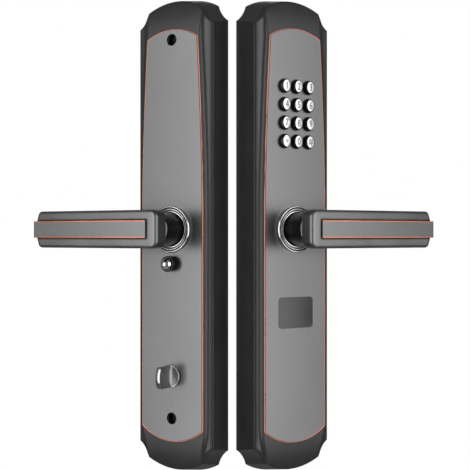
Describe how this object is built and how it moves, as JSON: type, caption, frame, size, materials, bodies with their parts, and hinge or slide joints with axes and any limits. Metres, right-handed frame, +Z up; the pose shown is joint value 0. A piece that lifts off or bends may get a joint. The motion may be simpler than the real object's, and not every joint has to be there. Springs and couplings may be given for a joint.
{
  "type": "keypad smart lock",
  "caption": "Full-height lever door lock in two halves: outer unit with keypad and card window, inner unit with push button and deadbolt thumbturn.",
  "frame": {"origin": "the outer lever's spindle axis where it crosses the outer unit's door face", "axes": "+Z up; -Y towards a viewer who sees both faces; +X towards the outer lever's side. The outer unit is turned 33.5 degrees and the inner unit -33 degrees about Z"},
  "size_m": [0.3201, 0.0955, 0.373],
  "materials": {
    "black_casting": "satin black plated die-casting",
    "brushed_panel": "brushed gunmetal",
    "copper_line": "polished copper plating",
    "lever_metal": "satin gunmetal",
    "inlay_metal": "brushed gunmetal",
    "chrome": "bright chrome",
    "plain_steel": "zinc plated",
    "spring_steel": "spring steel",
    "black_rubber": "matt",
    "circuit_board": "green solder mask",
    "window_plastic": "smoked gloss",
    "black_plastic": "matt black",
    "cell_sleeve": "printed sleeve"
  },
  "bodies": {
    "housings": {"battery_1": "cell_sleeve", "battery_2": "cell_sleeve", "battery_3": "cell_sleeve", "battery_4": "cell_sleeve", "battery_contacts": "spring_steel", "battery_holder": "black_plastic", "button_collar": "chrome", "card_antenna_board": "circuit_board", "card_window": "window_plastic", "inner_base_frame": "black_casting", "inner_bearing": "chrome", "inner_control_board": "circuit_board", "inner_face_panel": "brushed_panel", "inner_front_cover": "black_casting", "inner_mounting_plate": "plain_steel", "inner_panel_line": "copper_line", "inner_return_spring": "spring_steel", "inner_rose": "chrome", "keypad_board": "circuit_board", "keypad_mat": "black_rubber", "outer_base_frame": "black_casting", "outer_bearing": "chrome", "outer_control_board": "circuit_board", "outer_door_gasket": "black_rubber", "outer_face_panel": "brushed_panel", "outer_front_cover": "black_casting", "outer_mounting_plate": "plain_steel", "outer_panel_line": "copper_line", "outer_return_spring": "spring_steel", "outer_rose": "chrome", "plate_screws": "plain_steel", "push_button_spring": "spring_steel", "threaded_studs": "plain_steel"},
    "outer_lever": {"outer_lever": "lever_metal", "outer_lever_inlay": "inlay_metal", "outer_lever_lines": "copper_line", "outer_spring_hub": "plain_steel", "outer_retaining_ring": "plain_steel", "door_spindle": "plain_steel"},
    "inner_lever": {"inner_lever": "lever_metal", "inner_lever_inlay": "inlay_metal", "inner_lever_lines": "copper_line", "inner_spring_hub": "plain_steel", "inner_retaining_ring": "plain_steel"},
    "thumbturn": {"thumbturn": "chrome", "thumbturn_clip": "plain_steel", "thumbturn_tailpiece": "plain_steel"},
    "push_button": {"push_button": "chrome"},
    "key_1": {"key_1": "chrome"},
    "key_2": {"key_2": "chrome"},
    "key_3": {"key_3": "chrome"},
    "key_4": {"key_4": "chrome"},
    "key_5": {"key_5": "chrome"},
    "key_6": {"key_6": "chrome"},
    "key_7": {"key_7": "chrome"},
    "key_8": {"key_8": "chrome"},
    "key_9": {"key_9": "chrome"},
    "key_star": {"key_star": "chrome"},
    "key_0": {"key_0": "chrome"},
    "key_hash": {"key_hash": "chrome"}
  },
  "joints": [
    {"name": "outer_lever_turn", "type": "hinge", "parent": "housings", "child": "outer_lever", "pos_m": [0, 0, 0], "axis": [-0.5519, 0.8339, 0], "range_deg": [0, 45], "stiffness_Nm_per_rad": 0.6, "springref_deg": -34.38},
    {"name": "inner_lever_turn", "type": "hinge", "parent": "housings", "child": "inner_lever", "pos_m": [-0.0629, -0.0012, 0], "axis": [-0.5446, -0.8387, 0], "range_deg": [0, 45], "stiffness_Nm_per_rad": 0.6, "springref_deg": -34.38},
    {"name": "thumbturn_turn", "type": "hinge", "parent": "housings", "child": "thumbturn", "pos_m": [-0.0629, -0.0012, -0.1136], "axis": [0.5446, 0.8387, 0], "range_deg": [0, 90]},
    {"name": "push_button_press", "type": "slide", "parent": "housings", "child": "push_button", "axis": [0.5446, 0.8387, 0], "range_m": [0, 0.003], "stiffness_N_per_m": 400, "springref_m": -0.002, "deforming": ["push_button_spring"]},
    {"name": "key_1_press", "type": "slide", "parent": "housings", "child": "key_1", "axis": [-0.5519, 0.8339, 0], "range_m": [0, 0.0012], "stiffness_N_per_m": 800, "springref_m": -0.0006},
    {"name": "key_2_press", "type": "slide", "parent": "housings", "child": "key_2", "axis": [-0.5519, 0.8339, 0], "range_m": [0, 0.0012], "stiffness_N_per_m": 800, "springref_m": -0.0006},
    {"name": "key_3_press", "type": "slide", "parent": "housings", "child": "key_3", "axis": [-0.5519, 0.8339, 0], "range_m": [0, 0.0012], "stiffness_N_per_m": 800, "springref_m": -0.0006},
    {"name": "key_4_press", "type": "slide", "parent": "housings", "child": "key_4", "axis": [-0.5519, 0.8339, 0], "range_m": [0, 0.0012], "stiffness_N_per_m": 800, "springref_m": -0.0006},
    {"name": "key_5_press", "type": "slide", "parent": "housings", "child": "key_5", "axis": [-0.5519, 0.8339, 0], "range_m": [0, 0.0012], "stiffness_N_per_m": 800, "springref_m": -0.0006},
    {"name": "key_6_press", "type": "slide", "parent": "housings", "child": "key_6", "axis": [-0.5519, 0.8339, 0], "range_m": [0, 0.0012], "stiffness_N_per_m": 800, "springref_m": -0.0006},
    {"name": "key_7_press", "type": "slide", "parent": "housings", "child": "key_7", "axis": [-0.5519, 0.8339, 0], "range_m": [0, 0.0012], "stiffness_N_per_m": 800, "springref_m": -0.0006},
    {"name": "key_8_press", "type": "slide", "parent": "housings", "child": "key_8", "axis": [-0.5519, 0.8339, 0], "range_m": [0, 0.0012], "stiffness_N_per_m": 800, "springref_m": -0.0006},
    {"name": "key_9_press", "type": "slide", "parent": "housings", "child": "key_9", "axis": [-0.5519, 0.8339, 0], "range_m": [0, 0.0012], "stiffness_N_per_m": 800, "springref_m": -0.0006},
    {"name": "key_star_press", "type": "slide", "parent": "housings", "child": "key_star", "axis": [-0.5519, 0.8339, 0], "range_m": [0, 0.0012], "stiffness_N_per_m": 800, "springref_m": -0.0006},
    {"name": "key_0_press", "type": "slide", "parent": "housings", "child": "key_0", "axis": [-0.5519, 0.8339, 0], "range_m": [0, 0.0012], "stiffness_N_per_m": 800, "springref_m": -0.0006},
    {"name": "key_hash_press", "type": "slide", "parent": "housings", "child": "key_hash", "axis": [-0.5519, 0.8339, 0], "range_m": [0, 0.0012], "stiffness_N_per_m": 800, "springref_m": -0.0006}
  ]
}
